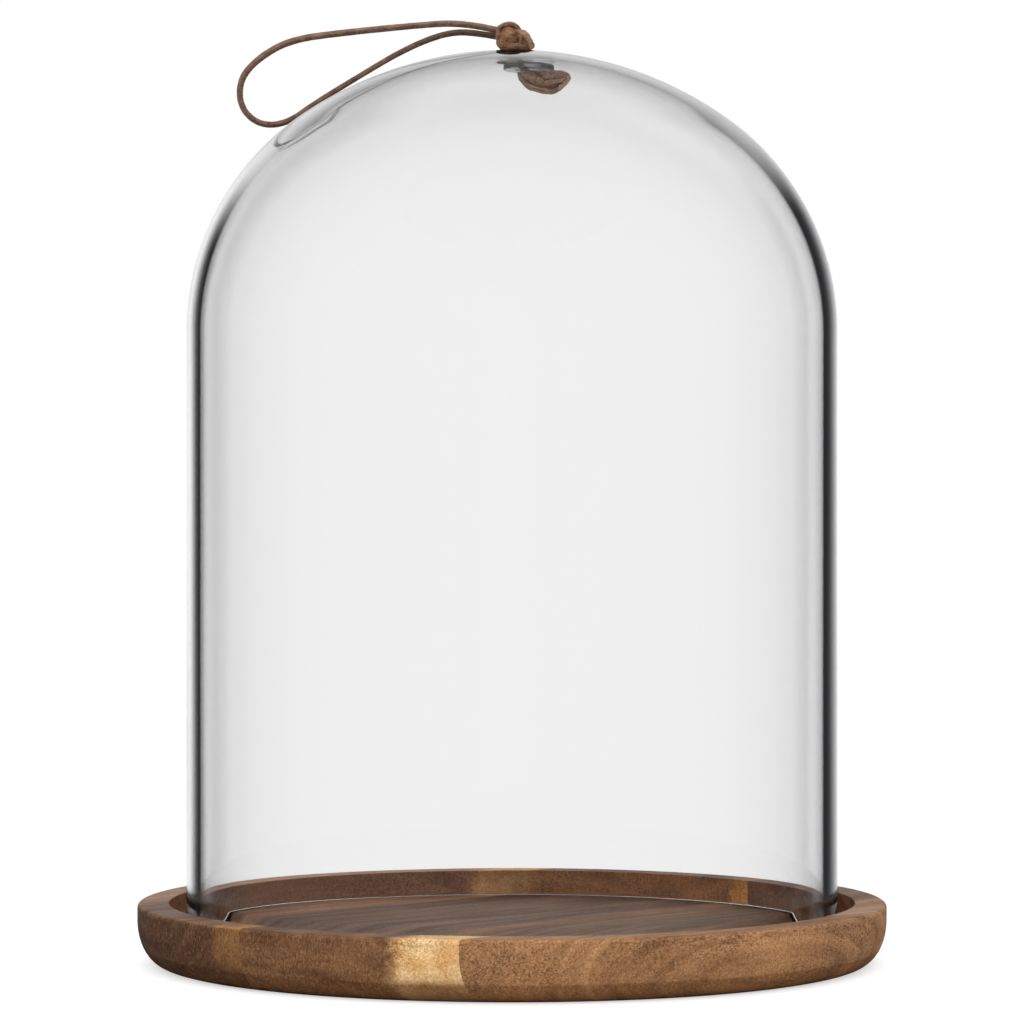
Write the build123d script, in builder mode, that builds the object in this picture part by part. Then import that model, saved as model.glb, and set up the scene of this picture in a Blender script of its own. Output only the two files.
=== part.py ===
"""A glass bell jar on a turned wooden tray, lifted by a knotted leather lace.

Millimetres, +Z up. The origin is on the tray's axis, on the flat face that the tray stands on,
and +X is to the right as seen from the front, which looks along +Y. The dome stands loose in
the tray's recess. The lace goes through a hole in the crown: a knot sits on the glass, a second
knot and a clear washer hold it from below, and its loop lies to the left over the shoulder.
"""

from build123d import *
import math
import os

os.makedirs("parts", exist_ok=True)

# Tray, a disc turned from four boards that are glued edge to edge
tray_diameter = 230.0
tray_height = 18.5
recess_diameter = 210.7
recess_depth = 7.5
underside_inset = 8.8      # how far the rounded underside reaches in from the side
underside_rise = 13.5      # and how far it reaches up from the foot
rim_rounding = 1.2         # on the rim's outer edge
recess_rounding = 0.8      # where the recess's wall meets its floor
board_angle = 43.9         # the grain's direction, from +X towards +Y
glue_lines = (71.9, 6.4, -71.4)  # from the axis to each joint, square to the grain

# Dome
dome_diameter = 200.0
dome_apex = 280.0          # above the foot of the tray
dome_rest_gap = 0.1        # between the glass and the recess's floor
side_wall = 4.2
crown_wall = 3.4
shoulder_start = 193.5     # where the straight side ends
shoulder_radius = 80.0
glass_rounding = 1.5       # on the ground lower edge
hole_diameter = 9.0
hole_rounding = 0.5

# Lace, a flat strip of leather; its loop is a round tube as wide as the strip is on average
lace_width = 2.0
lace_thickness = 1.5
loop_diameter = 1.8
strand_gap = 0.2           # between the two strands in the hole
neck_top_x = 0.2           # the strands lean to the right on their way down
neck_bottom_x = 4.2

# Knot on top of the crown, a ball with a folded tail at its right
knot_centre = Vector(-0.3, 0.0, 284.95)
knot_radius = 4.65
knot_clearance = 0.3       # between the crown and the knot's flat underside
knot_tail_depth = 6.4
knot_tail_rounding = 1.4
knot_tail_outline = (
    (-3.0, 280.3),
    (6.8, 280.3),
    (4.4, 286.3),
    (2.4, 287.6),
    (-1.0, 288.4),
)

# Clear washer and the stop knot below it
washer_diameter = 15.8
washer_thickness = 2.0
washer_hole = 7.8
washer_edge = 0.3
washer_x = 5.2
washer_top = 275.4
stop_gap = 0.1             # between the washer and the knot's flat top
stop_depth = 8.0
stop_rounding = 1.2
stop_top = washer_top - washer_thickness - stop_gap
stop_outline = (
    (1.6, stop_top),
    (1.8, 271.6),
    (5.0, 268.4),
    (7.6, 266.6),
    (12.0, 266.1),
    (15.2, 267.8),
    (18.4, 271.4),
    (16.6, stop_top),
)

# Loop of the lace: the points that its strands turn at, from the knot's left face round to it
loop_points = (
    (-5.4, -1.0, 286.6),
    (-14.5, -1.5, 289.0),
    (-32.5, -2.5, 287.5),
    (-51.5, -3.0, 285.5),
    (-68.0, -2.0, 283.5),
    (-78.0, -1.0, 278.0),
    (-84.0, 0.5, 271.5),
    (-84.0, 3.0, 263.0),
    (-78.0, 6.5, 257.5),
    (-69.0, 10.0, 258.0),
    (-60.5, 12.0, 265.5),
    (-46.5, 12.0, 273.0),
    (-32.5, 9.0, 281.0),
    (-21.0, 5.0, 286.5),
    (-13.0, 2.0, 287.0),
    (-5.4, 1.0, 284.8),
)


def finish(part, name):
    """Labels a finished piece and writes it."""
    part.label = name
    export_step(part, f"parts/{name}.step")


def crown_arc(shoulder_centre, radius, apex):
    """The crown's radius, and the shoulder's sweep in degrees, for an arc that is centred on the
    axis, runs on smoothly from a shoulder of that radius and peaks at the apex."""
    lift = apex - shoulder_start - radius
    drop = (shoulder_centre**2 - lift**2) / (2 * lift)
    return radius + lift + drop, math.degrees(math.atan2(drop, shoulder_centre))


# ---------------------------------------------------------------- tray boards
tray_radius = tray_diameter / 2
recess_floor = tray_height - recess_depth
across_boards = Vector(1, 0, 0).rotate(Axis.Z, board_angle - 90)
board_names = ("tray_board_front", "tray_board_mid_front", "tray_board_mid_back", "tray_board_back")
joints = [Plane(origin=across_boards * line, z_dir=across_boards) for line in glue_lines]

for number, board_name in enumerate(board_names):
    with BuildPart() as board:
        with BuildSketch(Plane.XZ) as section:
            with BuildLine():
                foot = Line((0, 0), (tray_radius - underside_inset, 0))
                underside = EllipticalCenterArc(
                    (tray_radius - underside_inset, underside_rise),
                    underside_inset,
                    underside_rise,
                    start_angle=270,
                    arc_size=90,
                )
                Polyline(
                    underside @ 1,
                    (tray_radius, tray_height),
                    (recess_diameter / 2, tray_height),
                    (recess_diameter / 2, recess_floor),
                    (0, recess_floor),
                    foot @ 0,
                )
            make_face()
            corners = section.vertices()
            rim_edge = corners.sort_by_distance((tray_radius, tray_height))[0]
            recess_corner = corners.sort_by_distance((recess_diameter / 2, recess_floor))[0]
            fillet(rim_edge, rim_rounding)
            fillet(recess_corner, recess_rounding)
        revolve(axis=Axis.Z)
        if number > 0:
            split(bisect_by=joints[number - 1], keep=Keep.BOTTOM)
        if number < len(joints):
            split(bisect_by=joints[number], keep=Keep.TOP)
    finish(board.part, board_name)

# ---------------------------------------------------------------- glass dome
dome_radius = dome_diameter / 2
dome_foot = recess_floor + dome_rest_gap
shoulder_centre = dome_radius - shoulder_radius
inner_radius = shoulder_radius - side_wall
inner_apex = dome_apex - crown_wall
outer_crown, outer_sweep = crown_arc(shoulder_centre, shoulder_radius, dome_apex)
inner_crown, inner_sweep = crown_arc(shoulder_centre, inner_radius, inner_apex)

with BuildPart() as glass_dome:
    with BuildSketch(Plane.XZ) as wall:
        with BuildLine():
            outer_side = Line((dome_radius, dome_foot), (dome_radius, shoulder_start))
            outer_shoulder = JernArc(outer_side @ 1, outer_side % 1, shoulder_radius, outer_sweep)
            JernArc(outer_shoulder @ 1, outer_shoulder % 1, outer_crown, 90 - outer_sweep)
            inner_side = Line(
                (dome_radius - side_wall, dome_foot), (dome_radius - side_wall, shoulder_start)
            )
            inner_shoulder = JernArc(inner_side @ 1, inner_side % 1, inner_radius, inner_sweep)
            JernArc(inner_shoulder @ 1, inner_shoulder % 1, inner_crown, 90 - inner_sweep)
            Line((0, dome_apex), (0, inner_apex))
            Line(outer_side @ 0, inner_side @ 0)
        make_face()
        with Locations((0, inner_apex)):
            Rectangle(hole_diameter, 4 * crown_wall, mode=Mode.SUBTRACT)
        fillet(wall.vertices().group_by(Axis.Y)[0], glass_rounding)
        fillet(wall.vertices().group_by(Axis.X)[0], hole_rounding)
    revolve(axis=Axis.Z)
finish(glass_dome.part, "glass_dome")

# ---------------------------------------------------------------- knot on the crown
knot_foot = dome_apex + knot_clearance

with BuildPart() as lace_top_knot:
    with BuildSketch(Plane.XZ.offset(-knot_tail_depth / 2)):
        with BuildLine():
            Polyline(*knot_tail_outline, close=True)
        make_face()
    extrude(amount=knot_tail_depth)
    fillet(lace_top_knot.edges().filter_by(Axis.Y), knot_tail_rounding)
    with Locations(knot_centre):
        Sphere(knot_radius)
    split(bisect_by=Plane.XY.offset(knot_foot), keep=Keep.TOP)
finish(lace_top_knot.part, "lace_top_knot")

# ---------------------------------------------------------------- clear washer
with BuildPart() as clear_washer:
    with BuildSketch(Plane.XY.offset(washer_top - washer_thickness)):
        with Locations((washer_x, 0)):
            Circle(washer_diameter / 2)
            Circle(washer_hole / 2, mode=Mode.SUBTRACT)
    extrude(amount=washer_thickness)
    chamfer(clear_washer.edges().filter_by(GeomType.CIRCLE), washer_edge)
finish(clear_washer.part, "clear_washer")

# ---------------------------------------------------------------- stop knot
with BuildPart() as lace_stop_knot:
    with BuildSketch(Plane.XZ.offset(-stop_depth / 2)):
        with BuildLine():
            Polyline(*stop_outline, close=True)
        make_face()
    extrude(amount=stop_depth)
    knot_faces = lace_stop_knot.faces().filter_by(Axis.Y)
    fillet(knot_faces.edges().filter_by_position(Axis.Z, 0, stop_top - stop_gap), stop_rounding)
finish(lace_stop_knot.part, "lace_stop_knot")

# ---------------------------------------------------------------- strands in the hole
strand_offset = (lace_width + strand_gap) / 2

with BuildPart() as lace_neck:
    for side in (-strand_offset, strand_offset):
        with BuildSketch(Plane.XY.offset(knot_foot)):
            with Locations((neck_top_x, side)):
                Rectangle(lace_thickness, lace_width)
        with BuildSketch(Plane.XY.offset(stop_top)):
            with Locations((neck_bottom_x, side)):
                Rectangle(lace_thickness, lace_width)
        loft(ruled=True)
finish(lace_neck.part, "lace_neck")

# ---------------------------------------------------------------- loop of the lace
corners = [Vector(point) for point in loop_points]
runs = [end - start for start, end in zip(corners, corners[1:])]
bends = [
    0.45 * min(before.length, after.length) / math.tan(math.radians(before.get_angle(after)) / 2)
    for before, after in zip(runs, runs[1:])
]

with BuildPart() as lace_loop:
    with BuildLine() as route:
        FilletPolyline(*corners, radius=bends)
    with BuildSketch(Plane(origin=route.line @ 0, z_dir=route.line % 0)):
        Circle(loop_diameter / 2)
    sweep(path=route.wires()[0])
finish(lace_loop.part, "lace_loop")

loop_section = math.pi * loop_diameter**2 / 4
print("loop radii", [round(bend, 1) for bend in bends])
print("loop length", round(route.wires()[0].length, 1))
print("volume", round(lace_loop.part.volume, 1))
print("section x length", round(loop_section * route.wires()[0].length, 1))
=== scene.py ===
"""Looks of a glass bell jar on a turned wooden tray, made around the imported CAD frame.

Metres, +Z up, in the frame of the CAD model: the tray stands on Z = 0, its axis is the Z axis, and the
front looks along +Y. The glass, the knots and the lace are modelled here. The four boards and the washer
are the CAD's own meshes, with new materials.
"""

import math

import bpy
import numpy as np
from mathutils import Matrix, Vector, noise


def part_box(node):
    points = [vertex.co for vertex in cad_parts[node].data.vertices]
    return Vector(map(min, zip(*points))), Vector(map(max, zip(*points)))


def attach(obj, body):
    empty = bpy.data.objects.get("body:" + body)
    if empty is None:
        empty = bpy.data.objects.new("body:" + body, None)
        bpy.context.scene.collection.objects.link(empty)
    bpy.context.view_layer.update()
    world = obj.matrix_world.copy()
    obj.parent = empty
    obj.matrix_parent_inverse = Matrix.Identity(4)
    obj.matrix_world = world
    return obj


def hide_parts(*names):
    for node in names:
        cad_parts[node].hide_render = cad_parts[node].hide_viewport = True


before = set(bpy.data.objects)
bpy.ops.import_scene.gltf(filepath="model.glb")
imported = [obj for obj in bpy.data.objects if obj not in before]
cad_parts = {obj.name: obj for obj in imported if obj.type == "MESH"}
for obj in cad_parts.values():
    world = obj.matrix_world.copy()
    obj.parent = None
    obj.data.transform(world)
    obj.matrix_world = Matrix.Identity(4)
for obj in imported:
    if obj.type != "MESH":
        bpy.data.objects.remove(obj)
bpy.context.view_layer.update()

MM = 0.001
WHITE = (1.0, 1.0, 1.0, 1.0)

# ------------------------------------------------------------------ small helpers


def link(obj):
    bpy.context.scene.collection.objects.link(obj)
    return obj


def mesh_object(name, points, faces, material):
    """A smooth-shaded mesh object in the scene, from points in metres."""
    mesh = bpy.data.meshes.new(name)
    mesh.from_pydata([tuple(p) for p in points], [], faces)
    mesh.materials.append(material)
    mesh.polygons.foreach_set("use_smooth", [True] * len(mesh.polygons))
    mesh.update()
    return link(bpy.data.objects.new(name, mesh))


class Nodes:
    """Builds a node tree in few words. Each input is a number, a colour or a socket to link to it."""

    def __init__(self, tree):
        self.tree = tree

    def feed(self, socket, value):
        if isinstance(value, bpy.types.NodeSocket):
            self.tree.links.new(value, socket)
        else:
            socket.default_value = value

    def new(self, kind, values=None, **settings):
        node = self.tree.nodes.new(kind)
        for key, value in settings.items():
            setattr(node, key, value)
        for key, value in (values or {}).items():
            self.feed(node.inputs[key], value)
        return node

    def math(self, operation, a, b=0.0):
        return self.new("ShaderNodeMath", {0: a, 1: b}, operation=operation).outputs[0]

    def remap(self, value, low, high, to_low=0.0, to_high=1.0, kind="SMOOTHSTEP"):
        values = {0: value, 1: low, 2: high, 3: to_low, 4: to_high}
        return self.new("ShaderNodeMapRange", values, interpolation_type=kind).outputs[0]

    def band(self, value, rise, fall):
        """1 between a rise and a fall, each given as where it is 0 and where it is 1."""
        return self.math("MULTIPLY", self.remap(value, *rise), self.remap(value, *fall))

    def noise(self, vector, scale, detail, roughness, distortion=0.0):
        values = {
            "Vector": vector,
            "Scale": scale,
            "Detail": detail,
            "Roughness": roughness,
            "Distortion": distortion,
        }
        return self.new("ShaderNodeTexNoise", values).outputs["Fac"]

    def vector(self, operation, a, b=(0, 0, 0)):
        return self.new("ShaderNodeVectorMath", {0: a, 1: b}, operation=operation).outputs["Vector"]

    def scalar(self, operation, a, b=(0, 0, 0)):
        """A vector operation whose result is a number, such as LENGTH."""
        return self.new("ShaderNodeVectorMath", {0: a, 1: b}, operation=operation).outputs["Value"]

    def split(self, vector):
        return self.new("ShaderNodeSeparateXYZ", {0: vector}).outputs

    def joined(self, x=0.0, y=0.0, z=0.0):
        return self.new("ShaderNodeCombineXYZ", {0: x, 1: y, 2: z}).outputs[0]

    def mix(self, factor, a, b, blend="MIX"):
        node = self.new("ShaderNodeMix", data_type="RGBA", blend_type=blend, clamp_factor=True)
        for index, value in ((0, factor), (6, a), (7, b)):
            self.feed(node.inputs[index], value)
        return node.outputs[2]

    def bump(self, height, strength, distance):
        values = {"Height": height, "Strength": strength, "Distance": distance}
        return self.new("ShaderNodeBump", values).outputs[0]


def new_material(name):
    material = bpy.data.materials.new(name)
    material.use_nodes = True
    tree = material.node_tree
    return material, Nodes(tree), tree.nodes["Principled BSDF"]


def colour(hex_code):
    """A display colour such as "8A6240" as scene-linear RGBA."""
    parts = [int(hex_code[i : i + 2], 16) / 255 for i in (0, 2, 4)]
    linear = [c / 12.92 if c <= 0.04045 else ((c + 0.055) / 1.055) ** 2.4 for c in parts]
    return (*linear, 1.0)


def grey(level):
    """A scene-linear grey, or a light of that strength."""
    return (level, level, level, 1)


# ------------------------------------------------------------------ camera
camera_distance = 1.2327
camera_height = 0.1381
camera_lens = 140.6
camera_sensor = 36.0

camera_data = bpy.data.cameras.new("camera")
camera_data.lens = camera_lens
camera_data.sensor_width = camera_sensor
camera = link(bpy.data.objects.new("camera", camera_data))
camera.location = (0, -camera_distance, camera_height)
camera.rotation_euler = (math.radians(90), 0, 0)
bpy.context.scene.camera = camera

# ------------------------------------------------------------------ leather
# its patterns: how closely each is packed, per metre, and its detail, roughness and distortion
leather_patches = (260.0, 4.0, 0.6)
leather_fibres = (900.0, 5.0, 0.75, 0.6)
leather_grain = (2600.0, 3.0, 0.65)
leather_relief = 0.00012
# the pointiness of a surface that isn't bent, of a sharp crease, which gets painted shade, and of an
# edge, which is painted lighter as wear and as a highlight
flat_bulge, crease_bulge, edge_bulge = 0.5, 0.42, 0.6


def leather(name, face, edge, dark, suede):
    """Waxed leather: mottled, with fine grain, edges lightened as wear and as painted highlights, and
    painted shade in its creases. suede, from 0 to 1, makes it matt and fuzzy."""
    material, nodes, shader = new_material(name)
    place = nodes.new("ShaderNodeTexCoord").outputs["Object"]
    patches = nodes.noise(place, *leather_patches)
    grain = nodes.noise(place, *leather_grain)
    fibres = nodes.noise(place, *leather_fibres)
    tone = nodes.mix(nodes.remap(patches, 0.35, 0.7), face, edge)
    tone = nodes.mix(nodes.remap(fibres, 0.52, 0.3), tone, dark)
    tone = nodes.mix(nodes.remap(grain, 0.45, 0.75, 0.0, 0.35 + 0.25 * suede), tone, edge)
    bulge = nodes.new("ShaderNodeNewGeometry").outputs["Pointiness"]
    # painted shade: the creases are darkened by the surface's pointiness, as if the folds shaded them
    tone = nodes.mix(nodes.remap(bulge, flat_bulge, crease_bulge, 0.0, 0.85), tone, dark)
    # the edges are lighter, partly as wear and partly as a painted highlight
    tone = nodes.mix(nodes.remap(bulge, flat_bulge + 0.01, edge_bulge, 0.0, 0.7), tone, edge)
    nodes.feed(shader.inputs["Base Color"], tone)
    rough = nodes.remap(grain, 0.3, 0.7, 0.5 + 0.3 * suede, 0.68 + 0.25 * suede)
    nodes.feed(shader.inputs["Roughness"], rough)
    shader.inputs["Specular IOR Level"].default_value = 0.35 - 0.15 * suede
    shader.inputs["Sheen Weight"].default_value = 0.1 + 0.3 * suede
    shader.inputs["Sheen Roughness"].default_value = 0.5
    height = nodes.math("ADD", grain, nodes.math("MULTIPLY", fibres, 1.5))
    nodes.feed(shader.inputs["Normal"], nodes.bump(height, 0.5, leather_relief))
    return material


lace_leather = leather("lace_leather", colour("7A5944"), colour("98765F"), colour("4A3226"), 0.2)
knot_leather = leather("knot_leather", colour("825A3E"), colour("A07656"), colour("3A261B"), 0.9)
stop_leather = leather("stop_leather", colour("996849"), colour("C99875"), colour("38231A"), 0.1)

# ------------------------------------------------------------------ lace: the free loop
lace_width = 2.0 * MM
lace_thickness = 1.5 * MM
loop_step = 0.0004         # between the cross-sections of its mesh
loop_route = [
    (-0.0036, -0.0010, 0.2862),
    (-0.0145, -0.0015, 0.2890),
    (-0.0325, -0.0025, 0.2875),
    (-0.0515, -0.0030, 0.2855),
    (-0.0680, -0.0020, 0.2835),
    (-0.0780, -0.0010, 0.2780),
    (-0.0840, 0.0005, 0.2715),
    (-0.0840, 0.0030, 0.2630),
    (-0.0780, 0.0026, 0.2575),
    (-0.0695, 0.0024, 0.2580),
    (-0.0610, 0.0040, 0.2644),
    (-0.0470, 0.0024, 0.2728),
    (-0.0328, 0.0024, 0.2812),
    (-0.0210, 0.0026, 0.2859),
    (-0.0130, 0.0020, 0.2864),
    (-0.0036, 0.0010, 0.2846),
]
# the wide face looks up and forward on the way out, and turns a little on its way round
loop_up = (0, -0.2, 1)
turn_places = [0, 0.15, 0.4, 0.55, 0.75, 1]
turn_angles = [0.5, 0.35, 0.75, 0.5, 0.2, 0.6]

# The shape of any strip. Its unevenness is a slow wave, along it and round it, with a finer ripple.
line_resolution = 16       # points between two of a route's control points
corner_points = 4
corner_share = 0.28        # of the strip's thinner side, taken by each rounded corner
wave_along = 0.8
wave_around = 0.35
ripple_scale = 5
ripple_share = 0.4
tip_share = 0.45           # of its width, left at the very tip of a strip that narrows


def smooth_line(route):
    """The points of the NURBS line that has these control points, as Blender draws it."""
    curve = bpy.data.curves.new("route", "CURVE")
    curve.dimensions = "3D"
    spline = curve.splines.new("NURBS")
    spline.points.add(len(route) - 1)
    for point, place in zip(spline.points, route):
        point.co = (*place, 1.0)
    spline.order_u = 3
    spline.use_endpoint_u = True
    spline.resolution_u = line_resolution
    line = bpy.data.objects.new("route", curve)
    mesh = bpy.data.meshes.new_from_object(line)
    points = np.array([v.co for v in mesh.vertices])
    bpy.data.objects.remove(line)
    bpy.data.curves.remove(curve)
    bpy.data.meshes.remove(mesh)
    return points


def distances(line):
    """How far along a line each of its points is."""
    return np.concatenate([[0], np.cumsum(np.linalg.norm(np.diff(line, axis=0), axis=1))])


def evenly(line, step):
    """The same line, with points a step apart."""
    along = distances(line)
    at = np.linspace(0, along[-1], max(2, round(along[-1] / step)))
    return np.stack([np.interp(at, along, line[:, axis]) for axis in range(3)], axis=1)


def strip_section(width, thickness):
    """A rounded rectangle, as points (across, up)."""
    rounding = corner_share * min(width, thickness)
    section = []
    for corner, (sx, sy) in enumerate(((1, 1), (-1, 1), (-1, -1), (1, -1))):
        for step in range(corner_points):
            angle = math.radians(90 * corner + 90 * step / (corner_points - 1))
            x = sx * (width / 2 - rounding) + rounding * math.cos(angle)
            y = sy * (thickness / 2 - rounding) + rounding * math.sin(angle)
            section.append((x, y))
    return section


def strip(line, width, thickness, up=None, twist=None, about=None, uneven=0.04, tips=0.0, seed=0.0):
    """The points and faces of a leather strip along a line. Its wide face looks to up at the start and
    turns by the angles in twist, or else it looks away from the point called about all the way. tips
    is how far in from each end the strip narrows."""
    count = len(line)
    tangents = np.gradient(line, axis=0)
    tangents /= np.linalg.norm(tangents, axis=1)[:, None]
    along = distances(line)
    points, normal = [], Vector(up or (0, 0, 1))
    section = strip_section(width, thickness)
    for i in range(count):
        tangent = Vector(tangents[i])
        if about is not None:
            normal = Vector(line[i]) - Vector(about)
        normal = (normal - tangent * normal.dot(tangent)).normalized()
        side = tangent.cross(normal)
        angle = 0.0 if twist is None else twist[i]
        across = side * math.cos(angle) + normal * math.sin(angle)
        raised = normal * math.cos(angle) - side * math.sin(angle)
        near_end = min(along[i], along[-1] - along[i])
        narrow = 1.0
        if near_end < tips:
            narrow = tip_share + (1 - tip_share) * math.sqrt(near_end / tips)
        for j, (x, y) in enumerate(section):
            place = Vector((along[i] / width * wave_along, j * wave_around, seed))
            size = 1 + uneven * noise.noise(place)
            size += ripple_share * uneven * noise.noise(place * ripple_scale)
            points.append(Vector(line[i]) + (across * x + raised * y) * size * narrow)
    around = len(section)
    faces = []
    for i in range(count - 1):
        this, following = i * around, (i + 1) * around
        for j in range(around):
            k = (j + 1) % around
            faces.append((this + j, this + k, following + k, following + j))
    faces.append(tuple(reversed(range(around))))
    faces.append(tuple(range((count - 1) * around, count * around)))
    return points, faces


# The crumpling of a knot's skin, by two sizes of dent, and mostly inwards
dent_scale = 480
crease_scale = 1500
crease_share = 0.6
dent_bias = 0.25
knot_voxel = 0.11 * MM


def gathered(name, parts, material, crumple=None):
    """One mesh object from several lots of points and faces. With crumple, the depth of its dents,
    they are melted into one crumpled skin."""
    points, faces = [], []
    for part_points, part_faces in parts:
        first = len(points)
        points += part_points
        faces += [tuple(first + v for v in face) for face in part_faces]
    piece = mesh_object(name, points, faces, material)
    if crumple is None:
        return piece
    remesh = piece.modifiers.new("skin", "REMESH")
    remesh.mode, remesh.voxel_size, remesh.use_smooth_shade = "VOXEL", knot_voxel, True
    soften = piece.modifiers.new("soften", "SMOOTH")
    soften.factor, soften.iterations = 0.5, 1
    evaluated = piece.evaluated_get(bpy.context.evaluated_depsgraph_get())
    skin = bpy.data.meshes.new_from_object(evaluated)
    piece.modifiers.clear()
    piece.data = skin
    normals = [v.normal.copy() for v in skin.vertices]
    for vertex, normal in zip(skin.vertices, normals):
        dent = noise.noise(vertex.co * dent_scale)
        dent += crease_share * noise.noise(vertex.co * crease_scale)
        vertex.co += normal * crumple * (dent - dent_bias)
    skin.polygons.foreach_set("use_smooth", [True] * len(skin.polygons))
    skin.update()
    return piece


loop_line = evenly(smooth_line(loop_route), loop_step)
turning = np.interp(np.linspace(0, 1, len(loop_line)), turn_places, turn_angles)
loop_parts = strip(loop_line, lace_width, lace_thickness, up=loop_up, twist=turning)
loop_strip = gathered("lace_loop_strip", [loop_parts], lace_leather)
# its mirror images in the glass would clutter the clear shoulder of the bell
loop_strip.visible_glossy = False
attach(loop_strip, "loop")
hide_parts("lace_loop")

# ------------------------------------------------------------------ lace: the knots and the neck
lump_rings = 28
lump_wave_scale = 1.7
lump_ripple_scale = 6
lump_ripple_share = 0.35
wrap_step = 0.15 * MM
wrap_tips = 0.8 * MM       # how far in from its ends a turn of lace narrows
wrap_unevenness = 0.1


def mm(*points):
    """Points given in millimetres, in metres."""
    return [tuple(MM * c for c in point) for point in points]


def lump(centre, radii, tilt, uneven, seed):
    """The points and faces of a soft lump inside a knot, with its sizes in millimetres. tilt turns it
    about the Y axis."""
    points, faces = [], []
    around = 2 * lump_rings
    centre, radii = mm(centre, radii)
    for i in range(lump_rings + 1):
        polar = math.pi * i / lump_rings
        for j in range(around):
            turn = 2 * math.pi * j / around
            flat = math.sin(polar)
            out = Vector((flat * math.cos(turn), flat * math.sin(turn), math.cos(polar)))
            size = 1 + uneven * noise.noise(out * lump_wave_scale + Vector((seed, 0, 0)))
            ripple = noise.noise(out * lump_ripple_scale + Vector((0, seed, 0)))
            size += lump_ripple_share * uneven * ripple
            x, y, z = (r * c * size for r, c in zip(radii, out))
            turned_x = x * math.cos(tilt) + z * math.sin(tilt)
            turned_z = z * math.cos(tilt) - x * math.sin(tilt)
            points.append(Vector(centre) + Vector((turned_x, y, turned_z)))
    for i in range(lump_rings):
        this, following = i * around, (i + 1) * around
        for j in range(around):
            k = (j + 1) % around
            faces.append((this + j, following + j, following + k, this + k))
    return points, faces


def wrap(centre, width, thickness, seed, route):
    """The points and faces of a turn of lace laid round a knot, with its wide face outwards and its
    sizes in millimetres."""
    return strip(
        evenly(smooth_line(mm(*route)), wrap_step),
        width * MM,
        thickness * MM,
        about=mm(centre)[0],
        uneven=wrap_unevenness,
        tips=wrap_tips,
        seed=seed,
    )


def knot(name, centre, lumps, wraps, material, crumple):
    """A knot of leather lumps and turns, all in millimetres, melted into one crumpled skin."""
    parts = [lump(*sizes) for sizes in lumps] + [wrap(centre, *sizes) for sizes in wraps]
    return gathered(name, parts, material, crumple * MM)


# each lump is its centre, radii, tilt, unevenness and seed, and each turn its width, thickness, seed
# and route
top_lumps = [
    ((-1.1, -0.2, 284.5), (3.75, 3.7, 4.05), 0.0, 0.06, 1.0),
    ((1.2, -0.2, 281.5), (4.9, 3.3, 1.4), 0.0, 0.06, 24.0),
    ((-2.3, -0.3, 282.8), (2.6, 3.1, 2.4), -0.2, 0.08, 5.0),
    ((2.6, -0.3, 284.6), (2.3, 3.0, 2.1), 0.65, 0.1, 4.0),
    ((4.2, -0.1, 282.2), (2.0, 3.1, 2.9), -0.42, 0.08, 9.0),
    ((1.6, 0.6, 282.9), (3.0, 3.0, 2.4), 0.2, 0.1, 16.0),
]
top_wraps = [
    # over the top, from the side where the loop comes in, and down into the crease on the right
    (5.6, 1.1, 2.0, [
        (-4.4, -0.3, 283.6), (-4.75, -0.4, 285.3), (-4.3, -0.5, 287.1), (-2.7, -0.6, 288.4),
        (-0.7, -0.6, 288.75), (1.3, -0.5, 288.0), (2.5, -0.2, 286.7), (2.8, 0.4, 285.4),
    ]),
    # the fold in front, which runs down to the glass
    (0.9, 0.7, 6.0, [
        (2.9, -1.6, 286.4), (2.2, -3.2, 285.0), (2.9, -3.8, 283.4), (2.2, -3.7, 281.8),
        (2.6, -3.0, 280.7),
    ]),
    # across the back
    (4.6, 1.3, 8.0, [
        (-1.6, 0.8, 287.0), (-1.8, 2.6, 286.2), (-1.2, 3.4, 284.6), (-0.8, 3.3, 282.8),
        (-0.2, 2.4, 281.2), (0.4, 1.0, 280.9),
    ]),
    # the folded end on the right, from the shoulder down to the tip of the foot
    (3.2, 1.0, 11.0, [
        (0.9, -1.0, 286.2), (2.4, -2.6, 286.1), (3.8, -2.9, 285.2), (4.9, -2.6, 283.6),
        (5.9, -2.0, 281.6), (6.1, -1.2, 280.6),
    ]),
]
top_centre = (-0.3, 0.0, 284.9)
top_knot = knot("top_knot_wraps", top_centre, top_lumps, top_wraps, knot_leather, 0.24)
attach(top_knot, "lace")
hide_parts("lace_top_knot")

# the two strands through the hole: the route of the one behind, and the other mirrors it
neck_width = 1.9 * MM
neck_thickness = 1.45 * MM
neck_step = 0.2 * MM
neck_twist = (0.2, -0.5)
neck_route = [
    (-1.0, 0.9, 281.2), (-1.4, 1.0, 279.0), (-1.0, 1.05, 277.0), (0.8, 1.1, 275.9),
    (2.7, 1.1, 274.9), (4.0, 1.0, 273.4), (5.4, 0.8, 272.0),
]
neck_parts = []
for side in (-1, 1):
    neck_line = evenly(smooth_line(mm(*((x, y * side, z) for x, y, z in neck_route))), neck_step)
    twist = np.linspace(neck_twist[0] * side, neck_twist[1] * side, len(neck_line))
    neck_parts.append(
        strip(neck_line, neck_width, neck_thickness, up=(0, 1, 0), twist=twist, seed=30 + side)
    )
neck = gathered("neck_strands", neck_parts, stop_leather)
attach(neck, "lace")
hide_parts("lace_neck")

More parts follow.
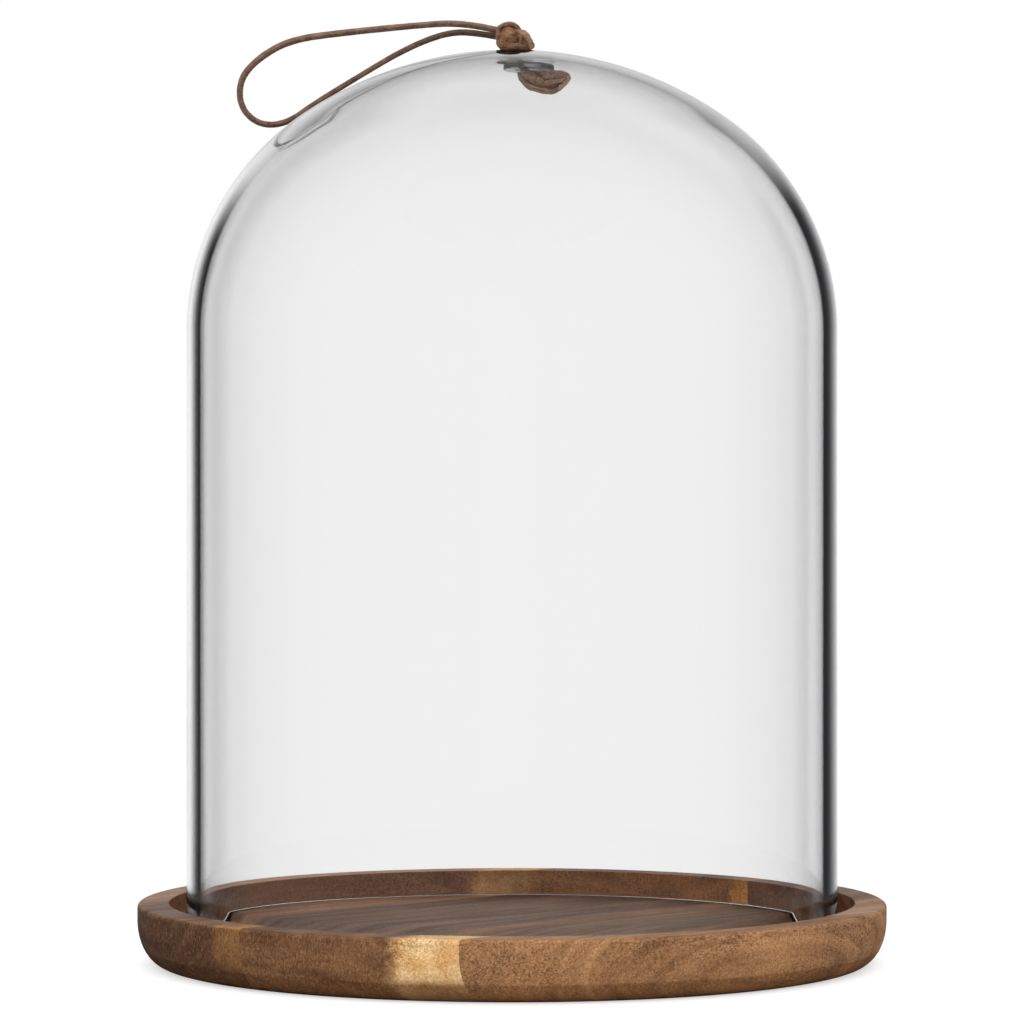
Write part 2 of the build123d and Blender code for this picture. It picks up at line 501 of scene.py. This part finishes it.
stop_lumps = [
    ((6.8, 0.0, 270.6), (4.2, 2.5, 2.2), 0.2, 0.1, 41.0),
    ((12.8, 0.0, 270.0), (4.8, 2.3, 2.2), -0.25, 0.1, 44.0),
    ((9.6, 0.0, 268.8), (5.0, 2.3, 2.0), 0.05, 0.08, 47.0),
]
stop_wraps = [
    # the cut edge that runs round under the whole knot, in front, behind and below
    (0.8, 1.0, 50.0, [
        (1.9, -0.8, 272.6), (2.3, -2.2, 270.9), (4.0, -3.2, 268.6), (6.6, -3.5, 267.3),
        (9.6, -3.5, 266.5), (12.4, -3.3, 266.0), (14.8, -2.9, 267.2), (16.8, -1.8, 269.7),
        (17.9, -0.4, 271.3),
    ]),
    (1.4, 1.1, 53.0, [
        (1.9, 0.8, 272.6), (2.6, 2.2, 270.8), (4.4, 3.1, 268.5), (7.4, 3.4, 267.3),
        (10.4, 3.4, 266.9), (13.2, 3.1, 266.9), (15.4, 2.5, 268.0), (17.1, 1.5, 270.0),
        (17.9, 0.4, 271.3),
    ]),
    (5.6, 1.0, 56.0, [
        (3.0, 0.0, 269.9), (4.8, 0.0, 267.7), (8.0, 0.0, 266.6), (11.8, 0.0, 265.9),
        (14.0, 0.0, 266.7), (16.2, 0.0, 268.5), (17.7, 0.0, 270.8),
    ]),
    # the broad fold on the left, which comes down from the neck, in front and behind
    (3.3, 1.1, 59.0, [
        (3.2, -1.0, 273.0), (3.9, -2.6, 272.3), (5.5, -3.5, 270.9), (7.4, -3.7, 269.6),
        (9.2, -3.2, 268.4),
    ]),
    (3.9, 1.2, 62.0, [
        (4.0, 0.8, 272.8), (4.4, 2.5, 272.0), (6.2, 3.3, 270.6), (8.4, 3.4, 269.3),
        (10.4, 3.0, 268.3),
    ]),
    # the folds on the right, drawn up to the tip and lapped over one another, and one behind
    (1.5, 1.2, 68.0, [
        (8.4, -2.2, 271.6), (11.0, -3.1, 272.1), (13.8, -2.9, 272.4), (16.2, -1.6, 272.2),
        (17.8, -0.3, 271.5),
    ]),
    (1.5, 1.3, 71.0, [
        (8.8, -3.0, 270.3), (11.2, -3.6, 270.9), (14.0, -3.1, 271.1), (16.4, -1.8, 271.4),
        (17.7, -0.4, 271.4),
    ]),
    (1.4, 1.2, 73.0, [
        (9.4, -3.2, 268.7), (11.6, -3.6, 268.9), (14.2, -3.2, 269.3), (16.4, -1.9, 270.4),
        (17.6, -0.5, 271.2),
    ]),
    (2.4, 1.1, 74.0, [
        (9.4, 2.4, 270.9), (11.8, 3.2, 271.4), (14.4, 2.6, 271.8), (16.6, 1.3, 271.9),
        (17.8, 0.2, 271.5),
    ]),
    # the flat top, under the washer
    (4.6, 1.1, 77.0, [
        (2.4, 0.0, 272.3), (5.0, 0.0, 272.5), (8.6, 0.0, 272.6), (12.6, 0.0, 272.6),
        (15.6, 0.0, 272.5), (17.6, 0.0, 271.8),
    ]),
]
stop_centre = (9.6, 0.0, 270.6)
stop_knot = knot("stop_knot_wraps", stop_centre, stop_lumps, stop_wraps, stop_leather, 0.2)
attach(stop_knot, "lace")
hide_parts("lace_stop_knot")

# ------------------------------------------------------------------ stage: floor and studio
floor_radius = 0.4
floor_sides = 96
floor_fade = (0.15, 0.32)  # the radii between which it melts away
floor_albedo = 0.6
floor_roughness = 0.9
floor_specular = 0.05
floor_glow = 0.55

# the light from each side on the matt surfaces
level_light, top_light, front_light, low_light = 0.8, 1.6, 1.5, 0.5


def pale_floor():
    """A plain pale floor under the object, which melts into the white of the studio further out."""
    material, nodes, shader = new_material("floor")
    place = nodes.new("ShaderNodeTexCoord").outputs["Object"]
    shader.inputs["Base Color"].default_value = grey(floor_albedo)
    shader.inputs["Roughness"].default_value = floor_roughness
    shader.inputs["Specular IOR Level"].default_value = floor_specular
    shader.inputs["Emission Color"].default_value = WHITE
    path = nodes.new("ShaderNodeLightPath")
    glow = nodes.math("MULTIPLY", path.outputs["Is Camera Ray"], floor_glow)
    nodes.feed(shader.inputs["Emission Strength"], glow)
    fade = nodes.remap(nodes.scalar("LENGTH", place), *floor_fade, 1.0, 0.0)
    nodes.feed(shader.inputs["Alpha"], fade)
    angles = np.linspace(0, math.tau, floor_sides + 1)[:-1]
    ring = [(floor_radius * math.cos(a), floor_radius * math.sin(a), 0) for a in angles]
    floor = mesh_object("floor", ring, [tuple(range(len(ring)))], material)


def soft_light(nodes, behind, up):
    """What lights the matt surfaces: white all round, stronger from above and from the front."""
    light = nodes.mix(nodes.remap(up, 0.0, 0.9), grey(level_light), grey(top_light))
    light = nodes.mix(nodes.remap(behind, 0.1, -0.7, 0.0, 0.6), light, grey(front_light))
    return nodes.mix(nodes.remap(up, 0.0, -0.1), light, grey(low_light))


# The room is laid out by the angle off the direction straight behind the jar, in degrees, and by the
# clock angle round that direction, from +X upwards. A rise or a fall goes from where it is 0 to where
# it is 1.
right_flag_off, right_flag_rise, right_flag_fall = (5, 28), (-80, -60), (66, 30)
left_flag_off, left_flag_clock = (19, 29), (128, 158)
flags_end_off = (48, 36)
grey_walls_off = (30, 52)
upward_rise, upward_fall = (35, 65), (145, 115)
edge_grey_off, edge_grey_share = (5, 14), 0.45
overhead_off = (20, 40)
left_shade_rise, left_shade_fall = (18, 23), (40, 34)
level_height = (0.22, 0.12)
shade_depth = (0.5, 1.5)   # in walls of glass that the light has come through
inside_light_share = 0.25
inside_light = (3.0, 2.9, 2.8, 1)
flag_colour = (0.025, 0.025, 0.028, 1)
wall_grey, edge_grey, overhead_grey, left_shade_grey = 0.13, 0.2, 0.12, 0.3


def reflected_room(nodes, off, clock, left_side):
    """What reflections see: a white backdrop behind the jar, a dark flag on each side of it, which
    draws the edge of the glass, and grey walls elsewhere."""
    right_side = nodes.band(clock, right_flag_rise, right_flag_fall)
    right_flag = nodes.math("MULTIPLY", nodes.remap(off, *right_flag_off), right_side)
    left_flag = nodes.math("MULTIPLY", nodes.remap(off, *left_flag_off), left_side)
    flags = nodes.math("MAXIMUM", right_flag, left_flag)
    flags = nodes.math("MULTIPLY", flags, nodes.remap(off, *flags_end_off))
    walls = nodes.mix(nodes.remap(off, *grey_walls_off), WHITE, grey(wall_grey))
    upward = nodes.band(clock, upward_rise, upward_fall)
    edge = nodes.math("MULTIPLY", upward, nodes.remap(off, *edge_grey_off, 0.0, edge_grey_share))
    walls = nodes.mix(edge, walls, grey(edge_grey))
    overhead = nodes.math("MULTIPLY", upward, nodes.remap(off, *overhead_off))
    walls = nodes.mix(overhead, walls, grey(overhead_grey))
    return nodes.mix(flags, walls, flag_colour)


def studio():
    """A white room with soft light, and other looks for what is seen by reflection or refraction."""
    world = bpy.data.worlds.new("studio")
    bpy.context.scene.world = world
    world.use_nodes = True
    nodes = Nodes(world.node_tree)
    background = world.node_tree.nodes["Background"]
    direction = nodes.new("ShaderNodeTexCoord").outputs["Generated"]
    right, behind, up = nodes.split(direction)
    path = nodes.new("ShaderNodeLightPath").outputs
    off = nodes.math("MULTIPLY", nodes.math("ARCCOSINE", behind), 180 / math.pi)
    clock = nodes.math("MULTIPLY", nodes.math("ARCTAN2", up, right), 180 / math.pi)
    left_side = nodes.remap(nodes.math("ABSOLUTE", clock), *left_flag_clock)

    # through the glass, the left edge sees a grey patch at the level of the horizon
    shade = nodes.math("MULTIPLY", nodes.band(off, left_shade_rise, left_shade_fall), left_side)
    level = nodes.remap(nodes.math("ABSOLUTE", up), *level_height)
    shade = nodes.math("MULTIPLY", shade, level)
    shade = nodes.math("MULTIPLY", shade, nodes.remap(path["Transmission Depth"], *shade_depth))
    seen = nodes.mix(shade, WHITE, grey(left_shade_grey))
    # the glass takes some of the light that reaches the wood inside it, and this gives it back
    inside = nodes.math("GREATER_THAN", path["Transmission Depth"], 0.5)
    soft = soft_light(nodes, behind, up)
    soft = nodes.mix(nodes.math("MULTIPLY", inside, inside_light_share), soft, inside_light)
    lit = nodes.math("GREATER_THAN", path["Diffuse Depth"], 0.5)
    reflected = nodes.math("GREATER_THAN", path["Glossy Depth"], 0.5)
    sky = nodes.mix(lit, seen, soft)
    sky = nodes.mix(reflected, sky, reflected_room(nodes, off, clock, left_side))
    nodes.feed(background.inputs["Color"], sky)


pale_floor()
studio()
bpy.context.scene.view_settings.view_transform = "Standard"

# ------------------------------------------------------------------ glass dome
dome_low, dome_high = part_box("glass_dome")
dome_radius, dome_foot, dome_apex = dome_high.x, dome_low.z, dome_high.z
side_wall = 4.2 * MM
crown_wall = 3.4 * MM
shoulder_start = 193.5 * MM
shoulder_radius = 80.0 * MM
foot_rounding = 1.5 * MM
hole_radius = 4.5 * MM
hole_rounding = 0.5 * MM
glass_segments = 256
side_points = 24           # of the profile, along its straight side, each large arc, and the small
arc_points = 72            # arcs at its foot and round the hole
foot_points = 8
lip_points = 5
glass_ior = 1.5
glass_wave = 0.00007       # the unevenness of the inner surface, which fades towards the axis
glass_wave_fade = 0.02
glass_wave_around = 1.3
glass_wave_up = 14


def arc(centre, radius, start, end, count):
    """Points (radius, height) of an arc about a centre, with angles in radians."""
    return [
        (centre[0] + radius * math.cos(a), centre[1] + radius * math.sin(a))
        for a in np.linspace(start, end, count)
    ]


def bell_side(radius, shoulder, apex):
    """One surface of the bell from its rounded foot to the hole, as points (radius, height): a straight
    side, a shoulder and a crown whose arc is centred on the axis and runs on smoothly from it."""
    centre = radius - shoulder
    lift = apex - shoulder_start - shoulder
    drop = (centre**2 - lift**2) / (2 * lift)
    crown = shoulder + lift + drop
    meeting = math.atan2(drop, centre)
    hole_edge = math.acos(hole_radius / crown)
    heights = np.linspace(dome_foot + foot_rounding, shoulder_start, side_points, endpoint=False)
    shoulders = arc((centre, shoulder_start), shoulder, 0, meeting, arc_points)
    crowns = arc((0, shoulder_start - drop), crown, meeting, hole_edge, arc_points)
    return [(radius, z) for z in heights] + shoulders + crowns[1:]


def glass_bell(material):
    """The bell as a lathed mesh, with a rounded lower edge, a ground hole and the slight unevenness of
    blown glass on its inner surface."""
    inner_radius = dome_radius - side_wall
    outer = bell_side(dome_radius, shoulder_radius, dome_apex)
    inner = bell_side(inner_radius, shoulder_radius - side_wall, dome_apex - crown_wall)
    quarter = math.pi / 2
    foot_z = dome_foot + foot_rounding
    foot = arc((dome_radius - foot_rounding, foot_z), foot_rounding, -quarter, 0, foot_points)
    foot_in_x = inner_radius + foot_rounding
    foot_in = arc((foot_in_x, foot_z), foot_rounding, -math.pi, -quarter, foot_points)
    lip_x = hole_radius + hole_rounding
    lip_z, lip_in_z = outer[-1][1] - hole_rounding, inner[-1][1] + hole_rounding
    lip = arc((lip_x, lip_z), hole_rounding, quarter, math.pi, lip_points)
    lip_in = arc((lip_x, lip_in_z), hole_rounding, -math.pi, -quarter, lip_points)
    wall = [(hole_radius, z) for z in np.linspace(lip_z, lip_in_z, lip_points)[1:-1]]
    profile = foot_in[:-1] + foot + outer[1:-2] + lip + wall + lip_in
    first_uneven = len(profile) - 1
    profile += inner[1:-2][::-1]
    count = len(profile)
    points, faces = [], []
    for s in range(glass_segments):
        angle = 2 * math.pi * s / glass_segments
        cosine, sine = math.cos(angle), math.sin(angle)
        for k, (r, z) in enumerate(profile):
            if k >= first_uneven:
                place = (cosine * glass_wave_around, sine * glass_wave_around, z * glass_wave_up)
                r += noise.noise(Vector(place)) * glass_wave * min(1, r / glass_wave_fade)
            points.append((r * cosine, r * sine, z))
    for s in range(glass_segments):
        this, following = s * count, (s + 1) % glass_segments * count
        for k in range(count):
            m = (k + 1) % count
            faces.append((this + k, following + k, following + m, this + m))
    return mesh_object("glass_bell", points, faces, material)


def clear(name, tint, ior):
    """A clear, smooth glass or plastic."""
    material, _, shader = new_material(name)
    shader.inputs["Base Color"].default_value = tint
    shader.inputs["Transmission Weight"].default_value = 1.0
    shader.inputs["Roughness"].default_value = 0.0
    shader.inputs["IOR"].default_value = ior
    return material


bell = glass_bell(clear("dome_glass", WHITE, glass_ior))
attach(bell, "dome")
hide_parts("glass_dome")

# ------------------------------------------------------------------ wood
grain_angle = math.radians(43.9)
near_end_x = (-0.06, -0.08)       # where the boards' ends near -X and near +X fade in
far_end_x = (0.050, 0.062)
ring_wander = 0.03                # how far the rings stray, slowly and finely
ring_ripple = 0.003
rings_per_metre = 220.0
sap_wander = 0.008                # how far the sapwood's edge strays, slowly and with the patches
sap_ripple = 0.012
side_slope = (0.9, 0.5)           # the upward part of the normal of a flat face and of a side
sap_foot, foot_sap = (0.0085, 0.0045), 0.3        # where the sapwood fades downwards, and how far
painted_shade_foot_heights, painted_foot_shade = (0.0060, 0.0050), 0.62    # and the painted shade, a darker band round the tray's foot where the underside turns away from the light
cut_sharpness = 4.0               # how fast the end grain's shade ends as the side turns away
red_power, blue_power = 0.75, 1.3   # of the shade, which makes dark wood warm
wood_relief = 0.0001
lathe_depth, pore_depth, streak_depth = 0.35, 0.8, 0.4   # shares of the relief
lathe_packing = (1300, 1300, 1)
wood_specular = 0.2

# The patterns of the wood: how closely each is packed, per metre, along, across and up the board, and
# its detail, roughness and distortion. The others have one packing for all ways.
wood_patterns = {
    "bend": ((6, 22, 22), 2.0, 0.5),
    "fine_bend": ((40, 160, 160), 3.0, 0.55),
    "streaks": ((16, 300, 300), 4.0, 0.6),
    "patches": ((30, 75, 75), 4.0, 0.62),
    "pores": ((620, 1700, 1900), 2.0, 0.7, 0.8),
    "dense": ((25, 60, 60), 2.0, 0.5),
    "flecks": ((1500, 2100, 700), 2.0, 0.6),
}
ring_pattern = (1.0, 5.0, 0.6)
lathe_pattern = (1.0, 2.0, 0.5)
speckle_pattern = (1700.0, 3.0, 0.7, 0.4)
dust_pattern = (2600.0, 2.0, 0.8)
pore_colour = colour("3A2114")
fleck_colour = colour("D9A878")
dust_colour = colour("C9B49A")


def heartwood(nodes, seen, across, height, seed, pith, dark, light):
    """Growth rings about the pith, with patches and streaks along the grain."""
    far = nodes.math("SUBTRACT", across, pith[0])
    deep = nodes.math("SUBTRACT", height, pith[1])
    squares = nodes.math("ADD", nodes.math("MULTIPLY", far, far), nodes.math("MULTIPLY", deep, deep))
    radius = nodes.math("SQRT", squares)
    radius = nodes.math("ADD", radius, nodes.math("MULTIPLY", seen["bend"], ring_wander))
    radius = nodes.math("ADD", radius, nodes.math("MULTIPLY", seen["fine_bend"], ring_ripple))
    rings = nodes.joined(nodes.math("MULTIPLY", radius, rings_per_metre), seed)
    ring = nodes.noise(rings, *ring_pattern)
    wood = nodes.mix(nodes.remap(ring, 0.25, 0.75), dark, light)
    wood = nodes.mix(nodes.remap(seen["patches"], 0.35, 0.7, 0, 0.65), wood, light)
    return nodes.mix(nodes.remap(seen["streaks"], 0.52, 0.75, 0, 0.35), wood, dark)


def sapwood_share(nodes, seen, across, height, ends, start, blur, along):
    """How far the wood is sapwood, from 0 to 1: beyond an uneven line across the board, and by the
    amounts in along near the -X end, in the middle and near the other end."""
    bend = nodes.math("SUBTRACT", seen["bend"], 0.5)
    patches = nodes.math("SUBTRACT", seen["patches"], 0.5)
    edge = nodes.math("ADD", across, nodes.math("MULTIPLY", bend, sap_wander))
    edge = nodes.math("ADD", edge, nodes.math("MULTIPLY", patches, sap_ripple))
    share = nodes.remap(edge, start - blur, start + blur)
    share = nodes.math("MULTIPLY", share, nodes.remap(height, *sap_foot, 1.0, foot_sap))
    near, middle, far = along
    reach = nodes.math("ADD", middle, nodes.math("MULTIPLY", ends[0], near - middle))
    reach = nodes.math("ADD", reach, nodes.math("MULTIPLY", ends[1], far - middle))
    return nodes.math("MULTIPLY", share, reach)


def grain_and_painted_shade(nodes, place, facing, side, height, end_dark, speckled):
    """What the wood's colour is multiplied by: the cut ends of the fibres are darker than the flat
    faces, the sides are speckled and the foot is darkened by painted shade. Dark wood is also warmer."""
    grain_way = (math.cos(grain_angle), math.sin(grain_angle), 0)
    cut = nodes.math("ABSOLUTE", nodes.scalar("DOT_PRODUCT", facing, grain_way))
    cut = nodes.math("POWER", cut, cut_sharpness)
    speckle = nodes.noise(place, *speckle_pattern)
    speckle = nodes.remap(speckle, 0.3, 0.7, -1.0, 1.0, "LINEAR")
    speckle = nodes.math("MULTIPLY", speckle, nodes.math("MULTIPLY", side, speckled))
    shade = nodes.math("SUBTRACT", speckle, nodes.math("MULTIPLY", cut, end_dark))
    shade = nodes.math("ADD", shade, 1.0)
    # painted shade: the wood round the foot, where the underside curves in, is darkened by height
    shade = nodes.math("MULTIPLY", shade, nodes.remap(height, *painted_shade_foot_heights, 1.0, painted_foot_shade))
    red = nodes.math("POWER", shade, red_power)
    blue = nodes.math("POWER", shade, blue_power)
    return nodes.joined(red, shade, blue)


def turned_relief(nodes, seen, place, pores):
    """The height of the surface: the lathe's marks round the axis, the open pores and the streaks."""
    x, y, z = nodes.split(place)
    from_axis = nodes.scalar("LENGTH", nodes.joined(x, y))
    lathe = nodes.vector("MULTIPLY", nodes.joined(from_axis, z), lathe_packing)
    marks = nodes.math("MULTIPLY", nodes.noise(lathe, *lathe_pattern), lathe_depth)
    relief = nodes.math("SUBTRACT", marks, nodes.math("MULTIPLY", pores, pore_depth))
    return nodes.math("ADD", relief, nodes.math("MULTIPLY", seen["streaks"], streak_depth))


def board_wood(name, seed, pith, heart, end_dark, speckled, sap, tints=(WHITE, WHITE)):
    """Oiled hardwood with its grain along the board. pith is where the middle of the trunk lay, as
    (across, height), and heart the heartwood's dark and light colours. end_dark is how much darker
    the end grain is, and speckled how strongly the sides are flecked. sap is where the sapwood starts
    across the board, its blur, its dark and light colours, and how much of it there is along the
    board. tints are what the sides' colours are multiplied by near the two ends."""
    material, nodes, shader = new_material(name)
    place = nodes.new("ShaderNodeTexCoord").outputs["Object"]
    turned = {"Vector": place, "Rotation": (0, 0, -grain_angle)}
    along = nodes.new("ShaderNodeMapping", turned).outputs[0]
    grain = nodes.vector("ADD", along, (seed, 0, 0))
    lengthwise, leftwards, height = nodes.split(along)
    across = nodes.math("MULTIPLY", leftwards, -1.0)
    seen = {
        pattern: nodes.noise(nodes.vector("MULTIPLY", grain, packing), 1.0, *detail)
        for pattern, (packing, *detail) in wood_patterns.items()
    }
    ends = [nodes.remap(lengthwise, *near_end_x), nodes.remap(lengthwise, *far_end_x)]
    facing = nodes.new("ShaderNodeNewGeometry").outputs["Normal"]
    side = nodes.remap(nodes.math("ABSOLUTE", nodes.split(facing)[2]), *side_slope)

    dark, light = (colour(code) for code in heart)
    wood = heartwood(nodes, seen, across, height, seed, pith, dark, light)
    start, blur, sap_dark, sap_light, sap_along = sap
    pale = nodes.remap(seen["patches"], 0.35, 0.65)
    pale = nodes.mix(pale, colour(sap_dark), colour(sap_light))
    share = sapwood_share(nodes, seen, across, height, ends, start, blur, sap_along)
    wood = nodes.mix(share, wood, pale)
    for end, tint in zip(ends, tints):
        tinted = nodes.mix(1.0, wood, tint, "MULTIPLY")
        wood = nodes.mix(nodes.math("MULTIPLY", end, side), wood, tinted)
    # the end grain's tone, the speckle and the painted shade round the foot
    shade = grain_and_painted_shade(nodes, place, facing, side, height, end_dark, speckled)
    wood = nodes.mix(1.0, wood, shade, "MULTIPLY")

    # the pores, which lie close in places, the pale flecks of the rays, and dust
    close = nodes.remap(seen["dense"], 0.38, 0.6, 0.3, 1.0)
    pores = nodes.math("MULTIPLY", nodes.remap(seen["pores"], 0.48, 0.6), close)
    wood = nodes.mix(pores, wood, nodes.mix(0.45, pore_colour, wood))
    flecked = nodes.mix(0.5, wood, fleck_colour)
    wood = nodes.mix(nodes.remap(seen["flecks"], 0.5, 0.68, 0, 0.35), wood, flecked)
    dust = nodes.noise(place, *dust_pattern)
    wood = nodes.mix(nodes.remap(dust, 0.74, 0.82, 0, 0.5), wood, dust_colour)

    relief = turned_relief(nodes, seen, place, pores)
    nodes.feed(shader.inputs["Base Color"], wood)
    nodes.feed(shader.inputs["Roughness"], nodes.remap(seen["streaks"], 0.3, 0.7, 0.4, 0.55))
    shader.inputs["Specular IOR Level"].default_value = wood_specular
    nodes.feed(shader.inputs["Normal"], nodes.bump(relief, 0.4, wood_relief))
    return material


NO_SAP = (0.5, 0.01, "000000", "000000", (0, 0, 0))
boards = {
    "tray_board_front": {
        "seed": 3.1,
        "pith": (0.150, -0.030),
        "heart": ("633E25", "BB895C"),
        "end_dark": 0.15,
        "speckled": 0.5,
        "sap": NO_SAP,
    },
    "tray_board_mid_front": {
        "seed": 11.7,
        "pith": (0.020, -0.060),
        "heart": ("50301C", "936844"),
        "end_dark": 0.1,
        "speckled": 0.42,
        "sap": (0.0560, 0.0025, "D49A58", "F4CE96", (1, 0.1, 0)),
        "tints": (WHITE, (1.7, 1.45, 1.25, 1)),
    },
    "tray_board_mid_back": {
        "seed": 23.9,
        "pith": (-0.050, 0.085),
        "heart": ("5A3923", "8A6042"),
        "end_dark": 0.15,
        "speckled": 0.45,
        "sap": (-0.0030, 0.0020, "94643A", "B4804E", (1, 0.35, 0.9)),
        "tints": ((0.55, 0.55, 0.53, 1), (2.7, 2.5, 1.7, 1)),
    },
    "tray_board_back": {
        "seed": 37.3,
        "pith": (-0.120, -0.050),
        "heart": ("82553A", "B48460"),
        "end_dark": 0.1,
        "speckled": 0.35,
        "sap": (-0.0845, 0.0030, "C08850", "E0B074", (0, 0, 1)),
    },
}


def dress(node_name, material):
    """Gives a carried-over CAD node its material."""
    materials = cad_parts[node_name].data.materials
    materials.clear()
    materials.append(material)


for board_name, looks in boards.items():
    dress(board_name, board_wood(board_name + "_wood", **looks))

# ------------------------------------------------------------------ clear washer
washer_tint = (0.34, 0.36, 0.37, 1)
washer_ior = 1.45
dress("clear_washer", clear("washer_plastic", washer_tint, washer_ior))
